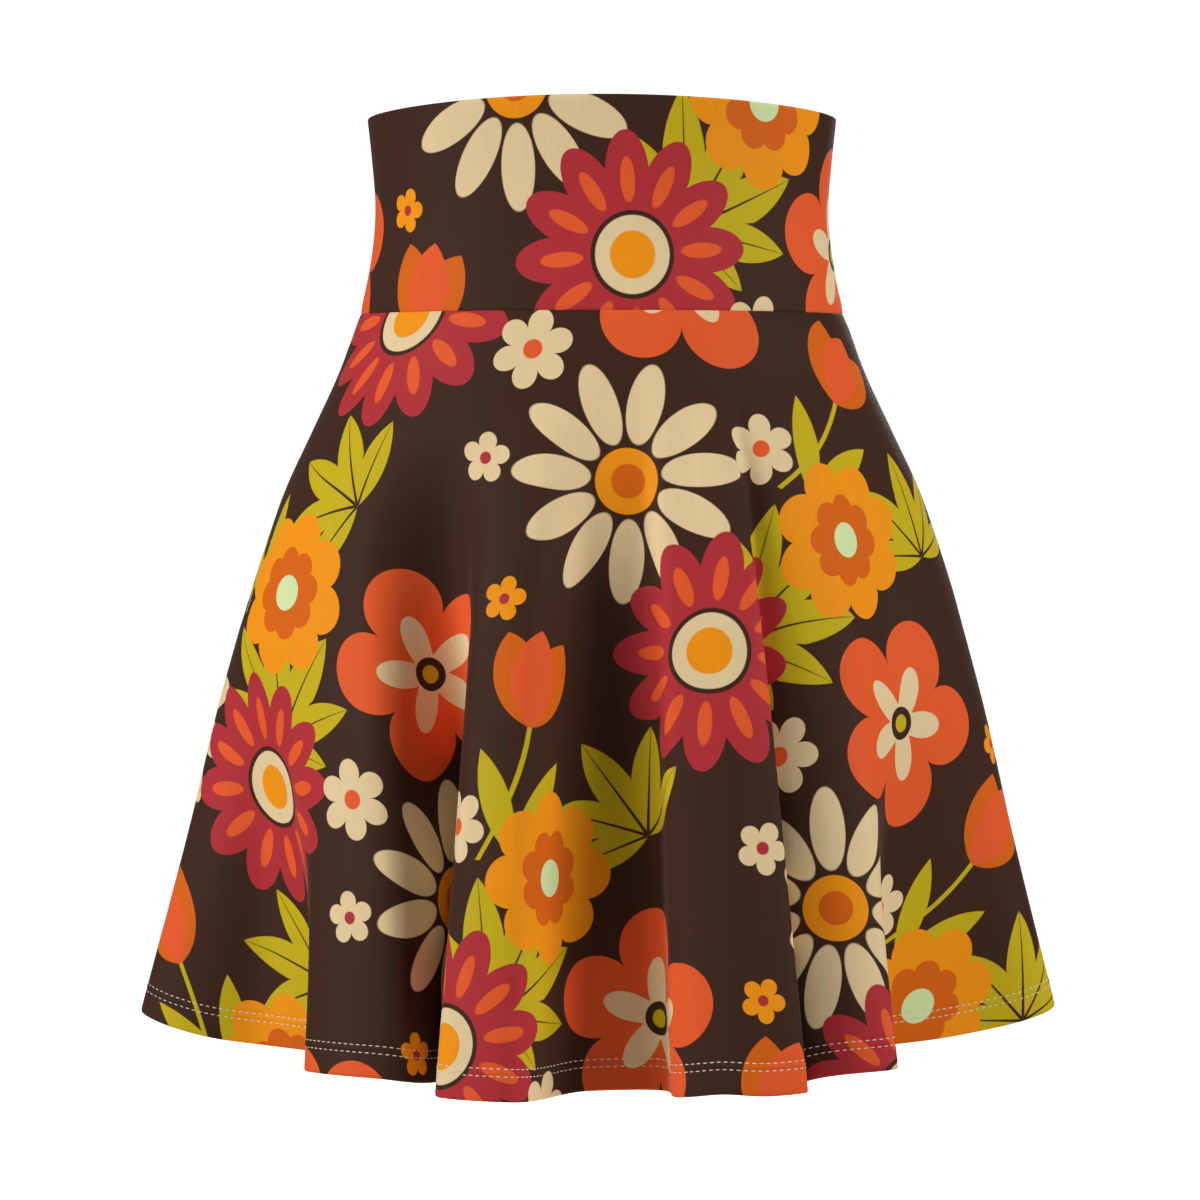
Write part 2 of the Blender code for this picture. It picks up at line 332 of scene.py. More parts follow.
def seam_relief(from_seam, shares, hoops):
    """How the waist seam and the side seams draw the cloth in."""
    relief = -SEAM_DRAW * bell(from_seam, SEAM_REACH)[:, None]
    for place in SIDE_SEAMS:
        aside = (shares % 1 - place)[None, :] * hoops[:, None]
        relief = relief - SEAM_DRAW * bell(aside, SEAM_REACH)
    return relief


def hem_relief(above):
    """The dents of the two needle rows and the ridge between them, by height above the edge."""
    rows = sum(-NEEDLE_DRAW * bell(above - row, NEEDLE_REACH) for row in NEEDLE_ROWS)
    return rows + TUNNEL_LIFT * bell(above - sum(NEEDLE_ROWS) / 2, TUNNEL_REACH)


def raised(plain, relief):
    """Points and normals of a form with its relief."""
    grid = plain + relief[:, :, None] * outward(plain)
    return grid, outward(grid)


def skirt_surface(levels, shares):
    """Outer points and normals of the skirt with its creases and the dents of its sewing."""
    hoops = hoop_lengths(skirt_form, levels)
    below = levels * SKIRT_LENGTH
    relief = crease_relief(levels, shares % 1, hoops) + seam_relief(below, shares, hoops)
    relief += hem_relief(SKIRT_LENGTH - below)[:, None]
    return raised(skirt_form(levels, shares), relief)


def band_surface(levels, shares):
    """Outer points and normals of the waistband with the dents of its seams."""
    above = (1 - levels) * BAND_HEIGHT
    relief = seam_relief(above, shares, hoop_lengths(band_form, levels))
    return raised(band_form(levels, shares), relief)


# ---------------------------------------------------------------- one sewn panel

def edge_places(length, count, first=True, last=True):
    """Places from 0 to length, evenly spaced but closer together at the edges that are named."""
    steps = np.array(RIM_STEPS)
    start = steps if first else np.array([0.0])
    end = length - steps[::-1] if last else np.array([length])
    middle = np.linspace(start[-1], end[0], count)[1:-1]
    return np.concatenate([start, middle, end])


def rounded(distances, radius):
    """How far a face has rounded off towards the middle of the wall, near its edges."""
    over = sum(np.clip(radius - distance, 0, None) ** 2 for distance in distances)
    return radius - np.sqrt(np.clip(radius ** 2 - over, 0, None))


def shell_mesh(name, outer, inner, outer_flat, inner_flat, inner_finish):
    """A closed thin shell from an outer and an inner grid that meet along all four edges.

    outer_flat and inner_flat are the points' places in the flat cut, and inner_finish
    the material index of each row of faces inside.
    """
    rows, columns = outer.shape[:2]
    front = np.arange(rows * columns).reshape(rows, columns)
    back = front + rows * columns
    back[0], back[-1], back[:, 0], back[:, -1] = front[0], front[-1], front[:, 0], front[:, -1]

    def quads(index, turned):
        ring = [index[:-1, :-1], index[1:, :-1], index[1:, 1:], index[:-1, 1:]]
        return np.stack(ring[::-1] if turned else ring, axis=-1).reshape(-1, 4)

    faces = np.vstack([quads(front, False), quads(back, True)])
    used, faces_used = np.unique(faces, return_inverse=True)
    points = np.concatenate([outer.reshape(-1, 3), inner.reshape(-1, 3)])[used] * MM
    mesh = bpy.data.meshes.new(name)
    mesh.from_pydata(points.tolist(), [], faces_used.reshape(-1, 4).tolist())
    flat = MM * np.vstack([
        outer_flat.reshape(-1, 2)[quads(front, False).ravel()],
        inner_flat.reshape(-1, 2)[quads(front, True).ravel()],
    ])
    mesh.uv_layers.new(name="flat_cut").data.foreach_set("uv", flat.ravel())
    finish = np.zeros(len(faces), int)
    finish[len(faces) // 2:] = np.repeat(inner_finish, columns - 1)
    mesh.polygons.foreach_set("material_index", finish)
    mesh.shade_smooth()
    mesh.update()
    piece = bpy.data.objects.new(name, mesh)
    bpy.context.scene.collection.objects.link(piece)
    return piece


def skirt_levels():
    """Rows of the skirt, closer together at the waist seam and down the hem."""
    body = edge_places(SKIRT_LENGTH - HEM_DEPTH, SKIRT_ROWS, last=False)[:-1]
    hem = SKIRT_LENGTH - HEM_DEPTH + edge_places(HEM_DEPTH, HEM_ROWS, first=False)
    return np.concatenate([body, hem]) / SKIRT_LENGTH


def column_shares(form, edge, first, last, count):
    """Columns of a panel, and one beyond each side to lead the normals.

    They are even along edge, which is 0 for the panel's top edge and 1 for its bottom one.
    """
    fine = np.linspace(first, last, EDGE_STEPS)
    run = running_length(form(np.array([0.0, 1.0]), fine)[edge])
    shares = np.interp(edge_places(run[-1], count), run, fine)
    step = shares[1] - shares[0]
    return np.concatenate([[first - step], shares, [last + step]])


def lapped(points):
    """Lets the side edges out by half the lap of the seam."""
    points = points.copy()
    for edge, neighbour in ((0, 1), (-1, -2)):
        step = points[:, edge] - points[:, neighbour]
        points[:, edge] += SEAM_LAP / 2 * step / np.linalg.norm(step, axis=1, keepdims=True)
    return points


def walls(grid, normal, thickness, edges):
    """Outer and inner points of a shell that rounds off at its edges."""
    radius = thickness / 2
    turned = rounded(edges, radius)
    outer = grid - turned[:, :, None] * normal
    inner = grid - (thickness - turned)[:, :, None] * normal
    return outer, inner


def per_row(values, grid):
    """A value for each row of a grid, given to every point of the row."""
    return np.broadcast_to(values[:, None], grid.shape[:2])


def skirt_panel(name, first, last, cloth_offset):
    """A skirt panel between two shares of the way round, cut at a place on the printed cloth."""
    levels = skirt_levels()
    shares = column_shares(skirt_form, 1, first, last, SKIRT_COLUMNS)
    grid, normal = skirt_surface(levels, shares)
    grid, normal = lapped(grid[:, 1:-1]), normal[:, 1:-1]
    run = row_run(grid)
    above = per_row((1 - levels) * SKIRT_LENGTH, grid)
    below = per_row(levels * SKIRT_LENGTH, grid)
    step = np.clip((HEM_DEPTH - above) / HEM_STEP, 0, 1)
    thickness = SKIRT_WALL + (HEM_WALL - SKIRT_WALL) * step
    outer, inner = walls(grid, normal, thickness, [above, below, run, run[:, -1:] - run])
    # The flat cut: a sector of a ring, upright at the panel's middle.
    radius = CUT_RADIUS + below
    angle = (run - run[:, -1:] / 2) / radius
    turned_radius = np.where(above < HEM_DEPTH, CUT_RADIUS + SKIRT_LENGTH + above, radius)
    outer_flat = np.dstack([radius * np.sin(angle), -radius * np.cos(angle)])
    inner_flat = np.dstack([turned_radius * np.sin(angle), -turned_radius * np.cos(angle)])
    inner_finish = np.where(above[1:, 0] < HEM_DEPTH, PRINTED, REVERSE)
    return shell_mesh(
        name, outer, inner, outer_flat + cloth_offset, inner_flat + cloth_offset, inner_finish)


def band_panel(name, first, last, cloth_offset):
    """A waistband panel between two shares of the way round, cut at a place on the cloth."""
    levels = edge_places(BAND_HEIGHT, BAND_ROWS) / BAND_HEIGHT
    shares = column_shares(band_form, 0, first, last, BAND_COLUMNS)
    grid, normal = band_surface(levels, shares)
    grid, normal = lapped(grid[:, 1:-1]), normal[:, 1:-1]
    run = row_run(grid)
    above = per_row((1 - levels) * BAND_HEIGHT, grid)
    below = per_row(levels * BAND_HEIGHT, grid)
    outer, inner = walls(grid, normal, BAND_WALL, [above, below, run, run[:, -1:] - run])
    # The flat cut: a strip, folded along the top edge so that it goes on inside.
    across = run - run[:, -1:] / 2
    outer_flat = np.dstack([across, above])
    inner_flat = np.dstack([across, BAND_HEIGHT + below])
    inner_finish = np.full(len(levels) - 1, PRINTED)
    return shell_mesh(
        name, outer, inner, outer_flat + cloth_offset, inner_flat + cloth_offset, inner_finish)


# ---------------------------------------------------------------- sewing threads

def sewing_path(name, points, normals):
    """A closed run of edges with the cloth's outward direction kept on each point."""
    count = len(points)
    edges = [(i, (i + 1) % count) for i in range(count)]
    mesh = bpy.data.meshes.new(name)
    mesh.from_pydata((points * MM).tolist(), edges, [])
    mesh.attributes.new("outward", "FLOAT_VECTOR", "POINT").data.foreach_set(
        "vector", normals.astype(np.float32).ravel())
    return mesh


class Builder:
    """Adds nodes to a geometry tree."""

    def __init__(self, name, inputs):
        self.tree = bpy.data.node_groups.new(name, "GeometryNodeTree")
        face = self.tree.interface
        face.new_socket("Geometry", in_out="INPUT", socket_type="NodeSocketGeometry")
        self.names = {}
        for label, value in inputs.items():
            kind = "NodeSocketMaterial" if value is None else "NodeSocketFloat"
            socket = face.new_socket(label, in_out="INPUT", socket_type=kind)
            if value is not None:
                socket.default_value = value
            self.names[label] = socket.identifier
        face.new_socket("Geometry", in_out="OUTPUT", socket_type="NodeSocketGeometry")
        self.input = self.tree.nodes.new("NodeGroupInput")
        self.output = self.tree.nodes.new("NodeGroupOutput")

    def node(self, kind, settings=None, inputs=None, out=0):
        made = self.tree.nodes.new(kind)
        for key, value in (settings or {}).items():
            setattr(made, key, value)
        for key, value in (inputs or {}).items():
            if isinstance(value, bpy.types.NodeSocket):
                self.tree.links.new(value, made.inputs[key])
            else:
                made.inputs[key].default_value = value
        return made.outputs[out]

    def finish(self, geometry):
        """Ends in real geometry with the material of the input called Material."""
        real = self.node("GeometryNodeRealizeInstances", inputs={"Geometry": geometry})
        smooth = self.node("GeometryNodeSetShadeSmooth", inputs={"Geometry": real})
        dressed = self.node("GeometryNodeSetMaterial", inputs={
            "Geometry": smooth, "Material": self.input.outputs["Material"]})
        self.tree.links.new(dressed, self.output.inputs["Geometry"])
        return self


def stitch_tree():
    """One small thread loop at each pitch of a path, along it and flat on the cloth."""
    build = Builder("stitches_along_path", {
        "Pitch": STITCH_PITCH * MM, "Length": 1.0, "Width": 1.0, "Height": 1.0, "Material": None})
    given = build.input.outputs
    curve = build.node("GeometryNodeMeshToCurve", inputs={"Mesh": given["Geometry"]})
    spaced = build.node("GeometryNodeResampleCurve", {"mode": "LENGTH"}, {
        "Curve": curve, "Length": given["Pitch"]})
    away = build.node("GeometryNodeInputNamedAttribute", {"data_type": "FLOAT_VECTOR"}, {
        "Name": "outward"})
    tangent = build.node("GeometryNodeInputTangent")
    along = build.node("FunctionNodeAlignRotationToVector", {"axis": "X"}, {"Vector": tangent})
    flat = build.node("FunctionNodeAlignRotationToVector", {"axis": "Z", "pivot_axis": "X"}, {
        "Rotation": along, "Vector": away})
    bead = build.node("GeometryNodeMeshUVSphere", inputs={"Segments": 8, "Rings": 5, "Radius": 0.5})
    size = build.node("ShaderNodeCombineXYZ", inputs={
        "X": given["Length"], "Y": given["Width"], "Z": given["Height"]})
    placed = build.node("GeometryNodeInstanceOnPoints", inputs={
        "Points": spaced, "Instance": bead, "Rotation": flat, "Scale": size})
    return build.finish(placed)


def thread_tree():
    """A round thread laid along a path."""
    build = Builder("thread_along_path", {"Radius": LOOPER_RADIUS * MM, "Material": None})
    given = build.input.outputs
    curve = build.node("GeometryNodeMeshToCurve", inputs={"Mesh": given["Geometry"]})
    section = build.node("GeometryNodeCurvePrimitiveCircle", {"mode": "RADIUS"}, {
        "Resolution": 5, "Radius": given["Radius"]})
    tube = build.node("GeometryNodeCurveToMesh", inputs={"Curve": curve, "Profile Curve": section})
    return build.finish(tube)


def grown(name, paths, build, values):
    """The plain mesh that a geometry tree makes of one or more paths."""
    pieces = []
    for path in paths:
        source = bpy.data.objects.new(name + "_path", path)
        bpy.context.scene.collection.objects.link(source)
        modifier = source.modifiers.new("threads", "NODES")
        modifier.node_group = build.tree
        for label, value in values.items():
            modifier[build.names[label]] = value
        shown = source.evaluated_get(bpy.context.evaluated_depsgraph_get())
        mesh = bpy.data.meshes.new_from_object(shown)
        bpy.data.objects.remove(source)
        piece = bpy.data.objects.new(name, mesh)
        bpy.context.scene.collection.objects.link(piece)
        pieces.append(piece)
    whole = pieces[0]
    if len(pieces) > 1:
        with bpy.context.temp_override(active_object=whole, selected_editable_objects=pieces):
            bpy.ops.object.join()
    whole.name = name
    return whole


def needle_row(above, shares):
    """Points and normals of the outer face at a height above the hem edge.

    One more row, 1 mm lower, leads the normals.
    """
    level = 1 - above / SKIRT_LENGTH
    levels = np.append(np.linspace(0, level, SKIRT_ROWS), level + 1 / SKIRT_LENGTH)
    points, normal = skirt_surface(levels, shares)
    return points[-2], normal[-2]


def hem_stitches(thread):
    """The two needle rows outside, all round the hem."""
    shares = np.linspace(0, 1, STITCH_PATH_STEPS, endpoint=False)
    paths = []
    for number, row in enumerate(NEEDLE_ROWS):
        points, normals = needle_row(row, shares)
        paths.append(sewing_path(f"needle_row_{number}", points + THREAD_PROUD * normals, normals))
    length, width, height = (size * MM for size in STITCH_SIZE)
    return grown("hem_stitches", paths, stitch_tree(), {
        "Pitch": STITCH_PITCH * MM, "Length": length, "Width": width, "Height": height,
        "Material": thread})


def hem_looper(thread):
    """The zigzag of the looper thread between the needle rows, inside the hem."""
    fine = np.linspace(0, 1, 2 * EDGE_STEPS - 1)
    run = running_length(skirt_form(np.array([0.0, 1.0]), fine)[1])
    count = 2 * round(run[-1] / STITCH_PITCH)
    shares = np.interp(np.arange(count) * run[-1] / count, run, fine)
    lower, upper = (needle_row(row, shares) for row in NEEDLE_ROWS)
    is_low = (np.arange(count) % 2 == 0)[:, None]
    points, normals = (np.where(is_low, low, high) for low, high in zip(lower, upper))
    points = points - (HEM_WALL + THREAD_PROUD) * normals
    path = sewing_path("looper_path", points, normals)
    return grown("hem_looper_thread", [path], thread_tree(), {
        "Radius": LOOPER_RADIUS * MM, "Material": thread})


# ---------------------------------------------------------------- shader maths

def linear(red, green, blue):
    """A screen colour of 0 to 255 as light."""
    scaled = (channel / 255 for channel in (red, green, blue))
    light = [c / 12.92 if c <= 0.04045 else ((c + 0.055) / 1.055) ** 2.4 for c in scaled]
    return (*light, 1.0)


class Value:
    """A number that changes over the surface. Operators add Math nodes."""

    def __init__(self, paint, socket):
        self.paint = paint
        self.socket = socket

    def math(self, operation, *terms, clamp=False):
        inputs = dict(enumerate(terms))
        return Value(self.paint, self.paint.node(
            "Math", {"operation": operation, "use_clamp": clamp}, inputs))

    def __add__(self, other):
        return self.math("ADD", self, other)

    def __radd__(self, other):
        return self.math("ADD", other, self)

    def __sub__(self, other):
        return self.math("SUBTRACT", self, other)

    def __rsub__(self, other):
        return self.math("SUBTRACT", other, self)

    def __mul__(self, other):
        return self.math("MULTIPLY", self, other)

    def __rmul__(self, other):
        return self.math("MULTIPLY", other, self)

    def __truediv__(self, other):
        return self.math("DIVIDE", self, other)

    def __rtruediv__(self, other):
        return self.math("DIVIDE", other, self)

    def __pow__(self, other):
        return self.math("POWER", self, other)

    def __abs__(self):
        return self.math("ABSOLUTE", self)

    def root(self):
        return self.math("SQRT", self)

    def cosine(self):
        return self.math("COSINE", self)

    def sine(self):
        return self.math("SINE", self)

    def whole(self):
        return self.math("ROUND", self)

    def between(self, low, high):
        return self.math("MAXIMUM", self.math("MINIMUM", self, high), low)

    def folded(self, half):
        """Repeats the stretch from -half to half."""
        return self.math("WRAP", self, half, -half)

    def angle(self, across):
        """Direction of (across, self) round the origin."""
        return self.math("ARCTAN2", self, across)

    def inside(self, soft):
        """1 where a distance is over zero, 0 where it is under, with a soft edge."""
        return self.math("MULTIPLY_ADD", self, 1 / soft, 0.5, clamp=True)


class Paint:
    """Adds shader nodes to one material."""

    def __init__(self, name):
        self.material = bpy.data.materials.new(name)
        self.material.use_nodes = True
        self.tree = self.material.node_tree
        self.surface = self.tree.nodes["Principled BSDF"]

    def node(self, kind, settings=None, inputs=None, out=0):
        made = self.tree.nodes.new("ShaderNode" + kind)
        for key, value in (settings or {}).items():
            setattr(made, key, value)
        for key, value in (inputs or {}).items():
            self.feed(made.inputs[key], value)
        return made.outputs[out]

    def feed(self, socket, value):
        if isinstance(value, Value):
            value = value.socket
        if isinstance(value, bpy.types.NodeSocket):
            self.tree.links.new(value, socket)
        else:
            socket.default_value = value

    def value(self, kind, settings=None, inputs=None, out=0):
        return Value(self, self.node(kind, settings, inputs, out))

    def mixed(self, share, under, over, blend="MIX"):
        """A colour laid over another one."""
        settings = {"data_type": "RGBA", "blend_type": blend}
        return self.node("Mix", settings, {0: share, 6: under, 7: over}, 2)

    def vector(self, operation, *terms, out=0):
        return self.node("VectorMath", {"operation": operation}, dict(enumerate(terms)), out)

    def set(self, **sockets):
        for name, value in sockets.items():
            self.feed(self.surface.inputs[name.replace("_", " ")], value)


# ---------------------------------------------------------------- the print

GROUND = linear(62, 38, 27)
CREAM = linear(226, 200, 154)
LIME = linear(194, 171, 26)
POPPY = linear(226, 90, 43)
GOLD = linear(238, 146, 20)
CRIMSON = linear(174, 49, 55)
ORANGE = linear(211, 98, 20)
MINT = linear(207, 224, 166)
OFF_WHITE = linear(226, 219, 207)       # the cloth before printing

REPEAT_WIDTH = 336.0            # the repeat is dropped by half from one column to the next
REPEAT_HEIGHT = 370.0
PRINT_EDGE = 0.45               # softness of a printed edge
RIB_WIDTH, RIB_TIP = 0.9, 0.1   # half width of a leaf's rib at its foot and at its tip
LEAF_SHORTENING = 0.045         # a leaf's lost share, times the square of its place in the hand


class Motif:
    """The plane of the cloth, measured in mm from the nearest copy of one motif."""

    def __init__(self, cloth, x, y, turn):
        paint = cloth.paint
        here = (x / REPEAT_WIDTH + y / REPEAT_HEIGHT, x / REPEAT_WIDTH - y / REPEAT_HEIGHT, 0)
        shifted = paint.vector("SUBTRACT", cloth.repeat, here)
        nearest = paint.vector("WRAP", shifted, (0.5, 0.5, 0.5), (-0.5, -0.5, -0.5))
        cos, sin = math.cos(math.radians(turn)), math.sin(math.radians(turn))

        def component(across, up):
            aside, above = across * REPEAT_WIDTH / 2, up * REPEAT_HEIGHT / 2
            weights = (aside + above, aside - above, 0)
            return Value(paint, paint.vector("DOT_PRODUCT", nearest, weights, out=1))

        self.x = component(cos, sin)
        self.y = component(-sin, cos)
        self.cloth = cloth

    def polar(self):
        self.reach = (self.x * self.x + self.y * self.y).root()
        self.bearing = self.y.angle(self.x)
        return self

    def lay(self, colour, mask):
        self.cloth.lay(colour, mask)

    def disc(self, colour, radius):
        self.lay(colour, (radius - self.reach).inside(PRINT_EDGE))

    def petals(self, colour, count, tip, notch, fullness, turn=0.0):
        """A flower in one piece; a low fullness makes broad round petals."""
        wave = abs((self.bearing * (count / 2) + math.radians(turn)).cosine()) ** fullness
        self.lay(colour, (wave * (tip - notch) + notch - self.reach).inside(PRINT_EDGE))

    def rays(self, colour, count, middle, half_length, half_width):
        """Separate oval petals, centred at a distance from the heart."""
        aside = self.bearing.folded(math.pi / count)
        along = (self.reach * aside.cosine() - middle) / half_length
        across = self.reach * aside.sine() / half_width
        size = (along * along + across * across).root()
        self.lay(colour, ((1 - size) * half_width).inside(PRINT_EDGE))

    def leaf(self, colour, along, across, length, width, rib=None):
        """A pointed leaf between two arcs, from 0 to length along its rib."""
        half, sag = length / 2, width / 2
        radius = (half ** 2 + sag ** 2) / (2 * sag)
        middle = along - half
        off = across + (radius - sag)
        mask = (radius - (middle * middle + off * off).root()).inside(PRINT_EDGE)
        self.lay(colour, mask)
        if rib:
            taper = along * ((RIB_WIDTH - RIB_TIP) / length)
            self.lay(rib, (RIB_WIDTH - taper - across).inside(PRINT_EDGE) * mask)

    def leaf_hand(self, colour, count, step, length, width):
        """Leaves spread like fingers from one foot, step degrees apart, the middle one longest."""
        step = math.radians(step)
        side = count // 2
        finger = (self.bearing / step).whole().between(-side, side)
        aside = self.bearing - finger * step
        size = self.reach / (1 - finger * finger * LEAF_SHORTENING)
        self.leaf(colour, size * aside.cosine(), abs(size * aside.sine()), length, width, GROUND)


class Print:
    """The printed colour, built up motif by motif on the brown ground."""

    def __init__(self, paint):
        self.paint = paint
        flat = paint.node("UVMap", {"uv_map": "flat_cut"})
        across = 1 / (REPEAT_WIDTH * MM)
        up = 1 / (REPEAT_HEIGHT * MM)
        rising = paint.vector("DOT_PRODUCT", flat, (across, up, 0), out=1)
        falling = paint.vector("DOT_PRODUCT", flat, (across, -up, 0), out=1)
        self.repeat = paint.node("CombineXYZ", None, {0: rising, 1: falling})
        self.flat = flat
        self.colour = GROUND

    def lay(self, colour, mask):
        self.colour = self.paint.mixed(mask, self.colour, colour)

    def motif(self, x, y, turn):
        return Motif(self, x, y, turn)

    def chestnut_leaf(self, x, y, turn, count, step, length, width):
        self.motif(x, y, turn).polar().leaf_hand(LIME, count, step, length, width)

    def tulip(self, x, y, turn):
        """Three petals on a bent stem, with two leaves at its foot."""
        flower = self.motif(x, y, turn)
        half_width, bend = 1.3, 0.0036
        half_stem, stem_middle = 38, -31
        leaf_foot, petal_foot = -65, -4
        stem = (half_width - abs(flower.x + flower.y * flower.y * bend)).inside(PRINT_EDGE)
        reach = (half_stem - abs(flower.y - stem_middle)).inside(PRINT_EDGE)
        flower.lay(LIME, stem * reach)
        for lean in (-26, 26):
            along, across = self.turned(flower.x, flower.y - leaf_foot, 90 - lean)
            flower.leaf(LIME, along, abs(across), length=54, width=15)
        for lean, colour in ((-21, ORANGE), (21, ORANGE), (0, POPPY)):
            along, across = self.turned(flower.x, flower.y - petal_foot, 90 - lean)
            flower.leaf(colour, along, abs(across), length=47, width=25)

    @staticmethod
    def turned(x, y, angle):
        cos, sin = math.cos(math.radians(angle)), math.sin(math.radians(angle))
        return x * cos + y * sin, y * cos - x * sin

    def daisy(self, x, y, turn):
        flower = self.motif(x, y, turn).polar()
        flower.rays(CREAM, count=11, middle=39, half_length=20.5, half_width=8.6)
        flower.disc(GOLD, 16.2)
        flower.disc(ORANGE, 8.4)

    def dahlia(self, x, y, turn):
        flower = self.motif(x, y, turn).polar()
        flower.petals(CRIMSON, count=12, tip=58, notch=41.5, fullness=0.9)
        flower.rays(POPPY, count=12, middle=35, half_length=10.6, half_width=3.6)
        flower.disc(GROUND, 20.7)
        flower.disc(CREAM, 18.4)
        flower.disc(GOLD, 11.2)

    def rosette(self, x, y, turn):
        flower = self.motif(x, y, turn).polar()
        flower.petals(GOLD, count=8, tip=41.5, notch=32.5, fullness=0.7)
        flower.petals(ORANGE, count=8, tip=23.5, notch=19, fullness=0.7, turn=90)
        flower.disc(MINT, 9)

    def poppy(self, x, y, turn):
        flower = self.motif(x, y, turn).polar()
        flower.petals(POPPY, count=5, tip=54, notch=30, fullness=0.62)
        flower.petals(CREAM, count=5, tip=30, notch=10, fullness=1.6)
        flower.disc(GROUND, 8.4)
        flower.disc(LIME, 4.5)

    def blossom(self, x, y, turn, colour, heart, tip, count):
        """A small flower with a heart of a quarter of its size."""
        flower = self.motif(x, y, turn).polar()
        flower.petals(colour, count, tip, notch=tip * 0.52, fullness=0.6)
        flower.disc(heart, tip * 0.24)

    def spread(self):
        """All motifs of one repeat at their places in mm, in the order in which they overlap."""
        self.chestnut_leaf(264, 96, 58, count=7, step=34, length=69, width=23)
        self.chestnut_leaf(31, 177, 128, count=5, step=38, length=56, width=19)
        self.tulip(125, 49, -12)
        self.daisy(179, 164, 10)
        self.dahlia(69, 269, 4)
        self.rosette(139, 343, 0)
        self.poppy(206, 273, 20)
        self.blossom(134, 231, 12, CREAM, POPPY, 20, 6)
        self.blossom(249, 188, 40, CREAM, POPPY, 18, 6)
        self.blossom(107, 180, 0, CREAM, CRIMSON, 13, 5)
        self.blossom(282, 293, 0, GOLD, CRIMSON, 11, 5)
        return self.colour


# ---------------------------------------------------------------- finishes

PRINTED, REVERSE = 0, 1         # material slots of a panel
WALE = 0.62                     # mm from one column of knit loops to the next
STREAK_STRETCH = 0.06           # how slowly the tone changes along a wale
PATCHES = 0.1                   # how much rougher the roughest patches are
SHOW_THROUGH = 0.12             # share of the print that shows on the unprinted side


def knit_finish(paint, flat, colour, smoothest, contrast, relief):
    """Lays the faint upright lines of a fine knit over a colour, and an uneven gloss.

    flat = the place in the flat cut, smoothest = the lowest roughness, contrast = how far
    the lines change the tone, and relief = their height in mm.
    """
    flat_mm = paint.vector("MULTIPLY", flat, (1 / MM, 1 / MM, 1))
    stretched = paint.vector("MULTIPLY", flat_mm, (1 / WALE, STREAK_STRETCH / WALE, 1))
    streaks = paint.value("TexNoise", {"noise_dimensions": "2D"}, {
        "Vector": stretched, "Scale": 0.35, "Detail": 3.0, "Roughness": 0.6})
    across = paint.value("SeparateXYZ", None, {0: flat_mm})
    wales = (across * (2 * math.pi / WALE)).sine()
    height = streaks * 0.8 + wales * 0.12
    bump = paint.node("Bump", None, {"Strength": 1.0, "Distance": relief * MM, "Height": height})
    patches = paint.value("TexNoise", {"noise_dimensions": "2D"}, {
        "Vector": flat, "Scale": 14.0, "Detail": 2.0})
    shade = 1 - contrast / 2 + streaks * contrast
    tone = paint.node("CombineColor", None, {0: shade, 1: shade, 2: shade})
    toned = paint.mixed(1.0, colour, tone, "MULTIPLY")
    paint.set(Base_Color=toned, Roughness=smoothest + patches * PATCHES, Normal=bump)


def printed_knit():
    """The right side, with a warm bloom where it turns away."""
    paint = Paint("printed_knit")
    pattern = Print(paint)
    colour = pattern.spread()
    knit_finish(paint, pattern.flat, colour, smoothest=0.51, contrast=0.09, relief=0.12)
    paint.set(Sheen_Weight=0.12, Sheen_Roughness=0.30, Sheen_Tint=(1.0, 0.94, 0.88, 1.0))
    paint.set(Specular_IOR_Level=0.06)
    return paint.material


def knit_reverse():
    """The unprinted side, off-white, with the print just showing through."""
    paint = Paint("knit_reverse")
    pattern = Print(paint)
    colour = paint.mixed(SHOW_THROUGH, OFF_WHITE, pattern.spread())
    knit_finish(paint, pattern.flat, colour, smoothest=0.7, contrast=0.12, relief=0.16)
    paint.set(Sheen_Weight=0.15, Sheen_Roughness=0.5)
    return paint.material


def sewing_thread():
    """Cream thread with an uneven twist."""
    paint = Paint("sewing_thread")
    where = paint.node("TexCoord", out=3)
    twist = paint.value("TexNoise", None, {"Vector": where, "Scale": 900.0, "Detail": 2.0})
    colour = paint.mixed(twist, linear(214, 205, 184), linear(238, 231, 213))
    bump = paint.node("Bump", None, {"Strength": 0.6, "Distance": 0.08 * MM, "Height": twist})
    paint.set(Base_Color=colour, Roughness=0.5 + twist * 0.15, Normal=bump)
    paint.set(Sheen_Weight=0.2)
    return paint.material


# ---------------------------------------------------------------- studio, in metres

FLOOR_Z = -1.0
BACKDROP_RADIUS = 30.0
CAMERA_DISTANCE = 1.8
CAMERA_HEIGHT = -0.098
CAMERA_ASIDE = -0.001
CAMERA_DIP = 3.29               # degrees below level
CAMERA_LENS = 104.35
AMBIENT = 0.09
LIGHT_TARGET = (0.0, 0.0, -0.2)

# Square soft lights that face the garment; power is in watts.
Softbox = namedtuple("Softbox", "name place side power")
SOFTBOXES = [
    Softbox("left_light", (-2.45, -1.14, 0.53), 1.4, 70.0),
    Softbox("right_light", (2.45, -1.14, 0.53), 1.4, 58.0),
    Softbox("front_light", (0.0, -2.7, 0.53), 1.4, 9.0),
    Softbox("top_light", (0.0, -1.2, 2.3), 1.4, 5.0),
    Softbox("back_light", (0.4, 2.6, 1.0), 1.8, 44.0),
    Softbox("inside_light", (0.0, 0.0, -0.8), 0.5, 2.0),
]


def glowing_white(name):
    """The white of the floor and the backdrop, lit of itself."""
    paint = Paint(name)
    where = paint.node("TexCoord", out=3)
    mottle = paint.value("TexNoise", None, {"Vector": where, "Scale": 3.0})
    paint.set(Base_Color=linear(244, 243, 241), Roughness=0.75 + mottle * 0.1)
    paint.set(Emission_Color=(1.0, 1.0, 1.0, 1.0), Emission_Strength=1.0)
    return paint.material


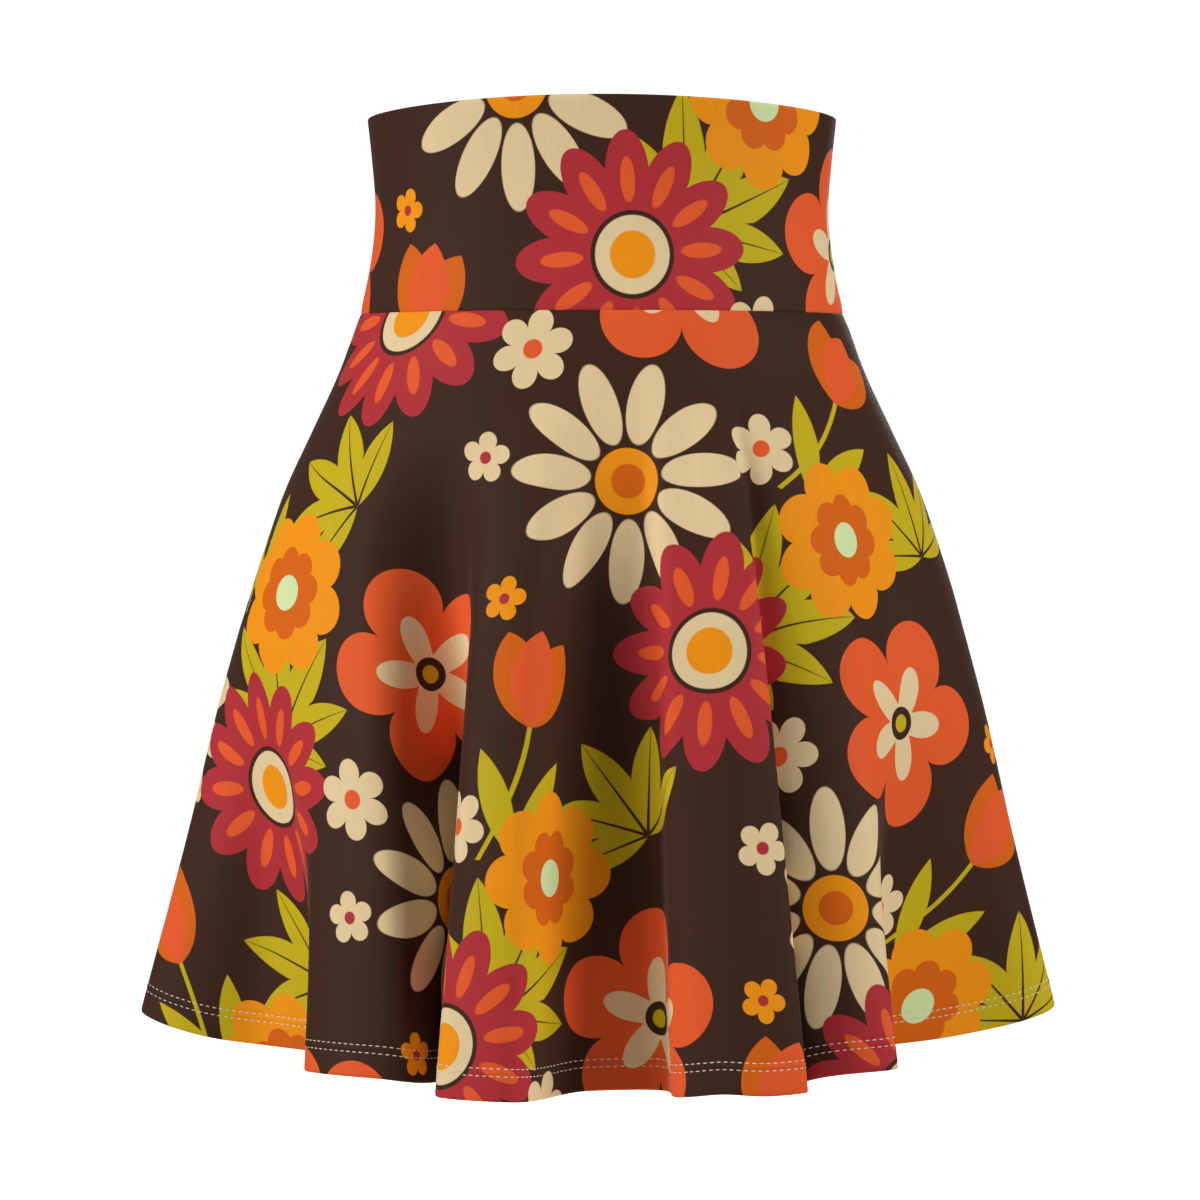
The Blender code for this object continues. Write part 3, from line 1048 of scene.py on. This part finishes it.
def seen_only(stage_piece):
    """Shows in the picture, and neither lights nor shades the garment."""
    stage_piece.visible_diffuse = False
    stage_piece.visible_glossy = False
    stage_piece.visible_transmission = False
    stage_piece.visible_shadow = False


def light_up(box):
    light = bpy.data.lights.new(box.name, "AREA")
    light.shape = "SQUARE"
    light.size = box.side
    light.energy = box.power
    lamp = bpy.data.objects.new(box.name, light)
    bpy.context.scene.collection.objects.link(lamp)
    lamp.location = box.place
    aim = np.array(LIGHT_TARGET) - np.array(box.place)
    dip = math.atan2(math.hypot(aim[0], aim[1]), -aim[2])
    lamp.rotation_euler = (dip, 0, math.atan2(aim[1], aim[0]) - math.pi / 2)
    lamp.visible_camera = False


def studio():
    scene = bpy.context.scene
    scene.view_settings.view_transform = "Standard"
    scene.view_settings.look = "None"
    world = bpy.data.worlds.new("studio")
    world.use_nodes = True
    background = world.node_tree.nodes["Background"]
    background.inputs["Color"].default_value = (1.0, 1.0, 1.0, 1.0)
    background.inputs["Strength"].default_value = AMBIENT
    scene.world = world

    bpy.ops.mesh.primitive_circle_add(
        vertices=96, radius=BACKDROP_RADIUS - 1, fill_type="NGON", location=(0, 0, FLOOR_Z))
    floor = bpy.context.object
    floor.name = "floor"
    floor.data.materials.append(glowing_white("floor_white"))
    bpy.ops.mesh.primitive_uv_sphere_add(segments=64, ring_count=32, radius=BACKDROP_RADIUS)
    backdrop = bpy.context.object
    backdrop.name = "backdrop"
    backdrop.data.materials.append(glowing_white("backdrop_white"))
    for piece in (floor, backdrop):
        seen_only(piece)

    for box in SOFTBOXES:
        light_up(box)

    camera = bpy.data.objects.new("camera", bpy.data.cameras.new("camera"))
    scene.collection.objects.link(camera)
    camera.location = (CAMERA_ASIDE, -CAMERA_DISTANCE, CAMERA_HEIGHT)
    camera.rotation_euler = (math.radians(90 - CAMERA_DIP), 0, 0)
    camera.data.lens = CAMERA_LENS
    camera.data.sensor_width = 36.0
    camera.data.clip_end = 4 * BACKDROP_RADIUS
    scene.camera = camera


# ---------------------------------------------------------------- putting it together


def dress():
    printed, reverse, thread = printed_knit(), knit_reverse(), sewing_thread()
    pieces = {
        "waistband_front": band_panel("waistband_front_cloth", 0.0, 0.5, (222.0, 58.0)),
        "waistband_back": band_panel("waistband_back_cloth", 0.5, 1.0, (178.0, 100.0)),
        "skirt_front": skirt_panel("skirt_front_cloth", 0.0, 0.5, (168.0, 96.0)),
        "skirt_back": skirt_panel("skirt_back_cloth", 0.5, 1.0, (96.0, 132.0)),
    }
    stitches, looper = hem_stitches(thread), hem_looper(thread)
    for node, piece in pieces.items():
        piece.data.materials.append(printed)
        piece.data.materials.append(reverse)
        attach(piece, "root")
        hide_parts(node)
    for piece in (stitches, looper):
        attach(piece, "root")


dress()
studio()
